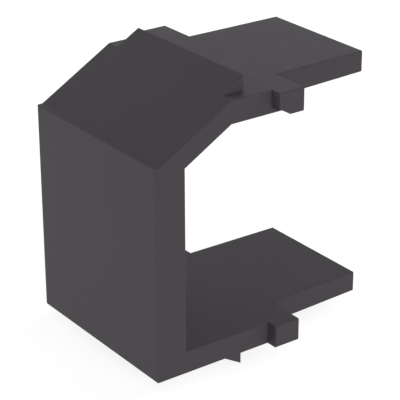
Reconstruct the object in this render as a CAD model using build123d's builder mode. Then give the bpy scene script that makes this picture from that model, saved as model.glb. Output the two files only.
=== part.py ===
from build123d import *
from math import cos, radians, tan
import os

# Keystone blank insert: one moulded clip that closes an empty port in a panel.
# Origin at the centre of the front face, +Y into the panel, +Z up, +X to the side.

# Front plate, which fills the port's opening
face_width = 14.5
face_height = 15.8
plate_thickness = 2.4
lip_depth = 0.4  # flat edge on top of the face, ahead of the shoulder

# Shoulder and arms, drawn up from the underside of the lower arm
ramp_angle = 30.0  # slope of the shoulder and of the ridge, wedge and ear ramps
clip_height = 19.1  # to the top of the upper arm
shoulder_wall = 1.5
arm_thickness = 1.7

# Catches that snap past the edges of the port
ridge_width = 12.4
ridge_rise = 1.05
wedge_start = 5.7
wedge_depth = 0.8

# Ears that stop against the back of the port
ear_front = 9.5
ear_length = 2.05
ear_reach = 0.85
ear_ramp_length = 0.95

# Tongues behind the ears
tongue_width = 10.05
tongue_length = 7.9
tongue_draft = 1.0  # degrees, on the sides and the underside

edge_radius = 0.1  # moulded outer edges

slope = tan(radians(ramp_angle))
half_width = face_width / 2
shoulder_end = lip_depth + (clip_height - face_height) / slope
ridge_end = shoulder_end + ridge_rise / slope
wedge_end = wedge_start + wedge_depth / slope
ear_rear = ear_front + ear_length
upper_under = clip_height - arm_thickness
taper = tongue_length * tan(radians(tongue_draft))

# Inner face of the shoulder, parallel to the outer one
shoulder_drop = shoulder_wall / cos(radians(ramp_angle))
inner_start = face_height + (plate_thickness - lip_depth) * slope - shoulder_drop
inner_end = lip_depth + (upper_under + shoulder_drop - face_height) / slope

# Side view: depth to the right, height up from the underside of the lower arm
underside = -face_height / 2
side = Plane(origin=(0, 0, underside), x_dir=(0, 1, 0), z_dir=(1, 0, 0))

with BuildPart() as blank_insert:
    # C-shaped section: lower arm with its wedge, front plate, shoulder and upper arm
    with BuildSketch(side):
        with BuildLine():
            Polyline(
                (0, 0),
                (wedge_start, 0),
                (wedge_end, -wedge_depth),
                (wedge_end, 0),
                (ear_rear, 0),
                (ear_rear, arm_thickness),
                (plate_thickness, arm_thickness),
                (plate_thickness, inner_start),
                (inner_end, upper_under),
                (ear_rear, upper_under),
                (ear_rear, clip_height),
                (shoulder_end, clip_height),
                (lip_depth, face_height),
                (0, face_height),
                close=True,
            )
        make_face()
    extrude(amount=half_width, both=True)

    # Catch ridge, whose ramp carries the shoulder on
    with BuildSketch(side):
        with BuildLine():
            Polyline(
                (shoulder_end, clip_height),
                (ridge_end, clip_height),
                (ridge_end, clip_height + ridge_rise),
                close=True,
            )
        make_face()
    extrude(amount=ridge_width / 2, both=True)

    # Square lower ears, as one bar through the arm
    with BuildSketch(side):
        with Locations((ear_front, 0)):
            Rectangle(ear_length, arm_thickness, align=Align.MIN)
    extrude(amount=half_width + ear_reach, both=True)

    # Upper ears, with a ramp on the lower front corner
    with BuildSketch(side):
        with BuildLine():
            Polyline(
                (ear_front, clip_height),
                (ear_front, upper_under + ear_ramp_length * slope),
                (ear_front + ear_ramp_length, upper_under),
                (ear_rear, upper_under),
                (ear_rear, clip_height),
                close=True,
            )
        make_face()
    extrude(amount=half_width + ear_reach, both=True)

    # Rounded around the face and along the side outlines, sharp at the catches and behind the ears
    outer = blank_insert.edges().filter_by(lambda edge: not edge.is_interior)
    outlines = outer.filter_by(Axis.X, reverse=True)
    face_top_and_bottom = outer.group_by(Axis.Y)[0].filter_by(Axis.X)
    rounded = (outlines + face_top_and_bottom).filter_by_position(Axis.Y, 0, ear_rear, inclusive=(True, False))
    fillet(rounded, edge_radius)

    # Drafted tongue behind each arm, level with the arm's top
    for arm_top in (arm_thickness, clip_height):
        root = Plane.XZ.shift_origin((0, 0, underside + arm_top)).offset(-ear_rear)
        with BuildSketch(root):
            RectangleRounded(tongue_width, arm_thickness, edge_radius, align=(Align.CENTER, Align.MAX))
        with BuildSketch(root.offset(-tongue_length)):
            RectangleRounded(
                tongue_width - 2 * taper, arm_thickness - taper, edge_radius, align=(Align.CENTER, Align.MAX)
            )
        loft()

blank_insert.part.label = "blank_insert"

os.makedirs("parts", exist_ok=True)
export_step(blank_insert.part, "parts/blank_insert.step")
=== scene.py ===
import bpy
import math
from mathutils import Matrix, Vector


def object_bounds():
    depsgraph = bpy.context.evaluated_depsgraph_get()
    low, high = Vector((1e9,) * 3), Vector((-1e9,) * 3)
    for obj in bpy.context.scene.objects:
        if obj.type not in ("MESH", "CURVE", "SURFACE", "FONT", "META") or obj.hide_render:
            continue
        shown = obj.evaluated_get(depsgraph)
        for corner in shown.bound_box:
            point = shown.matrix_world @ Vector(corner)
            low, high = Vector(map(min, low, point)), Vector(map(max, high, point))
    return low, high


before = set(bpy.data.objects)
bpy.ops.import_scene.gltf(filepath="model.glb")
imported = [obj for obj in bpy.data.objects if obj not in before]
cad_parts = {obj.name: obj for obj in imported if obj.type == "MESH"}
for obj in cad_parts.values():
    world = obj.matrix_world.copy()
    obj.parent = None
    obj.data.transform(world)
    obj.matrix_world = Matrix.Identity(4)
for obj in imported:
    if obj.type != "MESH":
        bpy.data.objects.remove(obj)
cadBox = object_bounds()
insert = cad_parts["blank_insert"]
print("frame loaded:", sorted(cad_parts))

scene = bpy.context.scene
scene.view_settings.view_transform = "Standard"


class Wire:  # a socket of a node tree, which takes part in sums
    def __init__(self, tree, socket=None):
        self.tree = tree
        self.socket = socket

    def node(self, kind, settings=None, inputs=None, output=0):
        made = self.tree.nodes.new(kind)
        for name, value in (settings or {}).items():
            setattr(made, name, value)
        for name, value in (inputs or {}).items():
            if isinstance(value, Wire):
                self.tree.links.new(value.socket, made.inputs[name])
            else:
                made.inputs[name].default_value = value
        return Wire(self.tree, made.outputs[output]) if len(made.outputs) else None

    def sum(self, operation, first, second):
        return self.node("ShaderNodeMath", {"operation": operation}, {0: first, 1: second})

    def __add__(self, other):
        return self.sum("ADD", self, other)

    def __radd__(self, other):
        return self.sum("ADD", other, self)

    def __sub__(self, other):
        return self.sum("SUBTRACT", self, other)

    def __rsub__(self, other):
        return self.sum("SUBTRACT", other, self)

    def __mul__(self, other):
        return self.sum("MULTIPLY", self, other)

    def __rmul__(self, other):
        return self.sum("MULTIPLY", other, self)


def emptyMaterial(name):
    material = bpy.data.materials.new(name)
    material.use_nodes = True
    material.node_tree.nodes.clear()
    return material, Wire(material.node_tree)


# Charcoal moulded plastic of the whole insert. Scales are counts per metre, and depths are in metres.
moulding = {
    "darkShade": (0.0442, 0.0390, 0.0448, 1),
    "paleShade": (0.0491, 0.0433, 0.0496, 1),
    "drift": {"Scale": 130, "Detail": 2, "Roughness": 0.5},     # slow drift over the whole moulding
    "patches": {"Scale": 1400, "Detail": 3, "Roughness": 0.5},  # faint clouds under a millimetre across
    "driftShare": 0.6,                                          # of the shade, and the patches have the rest
    "grain": {"Scale": 11000, "Detail": 2, "Roughness": 0.6},   # spark-eroded grain of the mould
    "grainDepth": 0.000006,
    "wave": {"Scale": 420, "Detail": 1, "Roughness": 0.5},      # slight waviness of the flat faces
    "waveDepth": 0.000006,
    "roughness": 0.52,
    "roughnessSpread": 0.08,
    "specular": 0.15,
}


def mouldedPlastic(look):
    material, wire = emptyMaterial("charcoalMoulding")
    place = wire.node("ShaderNodeTexCoord", output="Object")

    def noise(name):
        return wire.node("ShaderNodeTexNoise", {"noise_dimensions": "3D"}, {"Vector": place, **look[name]})

    drift, patches = noise("drift"), noise("patches")
    paleness = look["driftShare"] * drift + (1 - look["driftShare"]) * patches
    shade = wire.node("ShaderNodeMix", {"data_type": "RGBA", "clamp_factor": True},
                      {"Factor": paleness, 6: look["darkShade"], 7: look["paleShade"]}, output=2)
    unevenness = patches + drift - 1  # each noise has its middle at 0.5
    roughness = look["roughness"] + look["roughnessSpread"] * unevenness
    relief = noise("grain") * look["grainDepth"] + noise("wave") * look["waveDepth"]
    normal = wire.node("ShaderNodeBump", inputs={"Strength": 1.0, "Distance": 1.0, "Height": relief})
    shader = wire.node("ShaderNodeBsdfPrincipled", inputs={
        "Base Color": shade,
        "Roughness": roughness,
        "Specular IOR Level": look["specular"],
        "Normal": normal,
    })
    wire.node("ShaderNodeOutputMaterial", inputs={"Surface": shader})
    return material


insert.data.materials.clear()
insert.data.materials.append(mouldedPlastic(moulding))
print("moulded plastic made")


# Plain floor, white to the eye and with the insert's soft shadow on it
ground = {
    "size": 6.0,
    "bounce": (0.75, 0.75, 0.75, 1),    # what the insert gets light from
    "shadowed": (0.36, 0.36, 0.36, 1),  # the part of the white that the shadow can darken
    "glow": 0.84,                       # the part that it can't
}


def seenRays(wire):  # 1 where a ray shows the surroundings to the camera, straight or by way of the insert
    camera, glossy, through = (wire.node("ShaderNodeLightPath", output="Is " + kind + " Ray")
                               for kind in ("Camera", "Glossy", "Transmission"))
    return camera + glossy + through


def floorMaterial(look):
    material, wire = emptyMaterial("paleFloor")
    lit = wire.node("ShaderNodeBsdfDiffuse", inputs={"Color": look["shadowed"]})
    glow = wire.node("ShaderNodeEmission", inputs={"Strength": look["glow"]})
    seen = wire.node("ShaderNodeAddShader", inputs={0: lit, 1: glow})
    bounce = wire.node("ShaderNodeBsdfDiffuse", inputs={"Color": look["bounce"]})
    shader = wire.node("ShaderNodeMixShader", inputs={0: seenRays(wire), 1: bounce, 2: seen})
    wire.node("ShaderNodeOutputMaterial", inputs={"Surface": shader})
    return material


bpy.ops.object.select_all(action="DESELECT")
bpy.ops.mesh.primitive_plane_add(size=ground["size"], location=(0, 0, cadBox[0].z))
floor = bpy.context.object
floor.name = "floor"
floor.data.materials.append(floorMaterial(ground))
print("floor laid")


# Light: a plain surround and four soft boxes round the insert, all of one width.
# Azimuth 0 is in front of the face and 90 on its right.
# Brightness is what a white card facing the lamp would show.
studio = {
    "surround": 0.22,
    "distance": 2.0,
    "width": 1.2,
    "softBoxes": {
        "frontBox": {"azimuth": 0, "elevation": 5, "height": 0.35, "brightness": 0.60},
        "rightBox": {"azimuth": 90, "elevation": 10, "height": 0.7, "brightness": 0.85},
        "rearBox": {"azimuth": 180, "elevation": 20, "height": 0.7, "brightness": 0.48},
        "leftBox": {"azimuth": -95, "elevation": 10, "height": 0.7, "brightness": 0.36},
    },
}


def hangSoftBox(name, box):
    azimuth, elevation = math.radians(box["azimuth"]), math.radians(box["elevation"])
    towards = Vector((math.sin(azimuth), -math.cos(azimuth), math.tan(elevation))).normalized()
    bpy.ops.object.light_add(type="AREA", location=towards * studio["distance"])
    lamp = bpy.context.object
    lamp.name = name
    lamp.rotation_euler = towards.to_track_quat("Z", "Y").to_euler()
    lamp.data.shape = "RECTANGLE"
    lamp.data.size = studio["width"]
    lamp.data.size_y = box["height"]
    lamp.data.energy = box["brightness"] * (math.pi * studio["distance"]) ** 2
    lamp.visible_camera = False
    lamp.visible_glossy = False  # the gloss shows the white surround alone


for name, box in studio["softBoxes"].items():
    hangSoftBox(name, box)

world = bpy.data.worlds.new("surround")
scene.world = world
world.use_nodes = True
world.node_tree.nodes.clear()
wire = Wire(world.node_tree)
strength = studio["surround"] + (1 - studio["surround"]) * seenRays(wire)
background = wire.node("ShaderNodeBackground", inputs={"Color": (1, 1, 1, 1), "Strength": strength})
wire.node("ShaderNodeOutputWorld", inputs={"Surface": background})
print("lamps hung")


# The photograph's view of the insert
viewpoint = {
    "place": (0.086860, -0.054531, 0.049256),
    "azimuth": 53.882,
    "elevation": 24.273,
    "roll": 0.186,
    "sensor": 36,
    "lens": 148.19,
    "nearLimit": 0.01,
}

bpy.ops.object.camera_add(location=viewpoint["place"])
camera = bpy.context.object
camera.name = "photographView"
turn = Matrix.Rotation(math.radians(viewpoint["azimuth"]), 3, "Z")
tip = Matrix.Rotation(math.radians(90 - viewpoint["elevation"]), 3, "X")
roll = Matrix.Rotation(-math.radians(viewpoint["roll"]), 3, "Z")
camera.rotation_euler = (turn @ tip @ roll).to_euler()
camera.data.sensor_width = viewpoint["sensor"]
camera.data.lens = viewpoint["lens"]
camera.data.clip_start = viewpoint["nearLimit"]
scene.camera = camera
print("camera set")
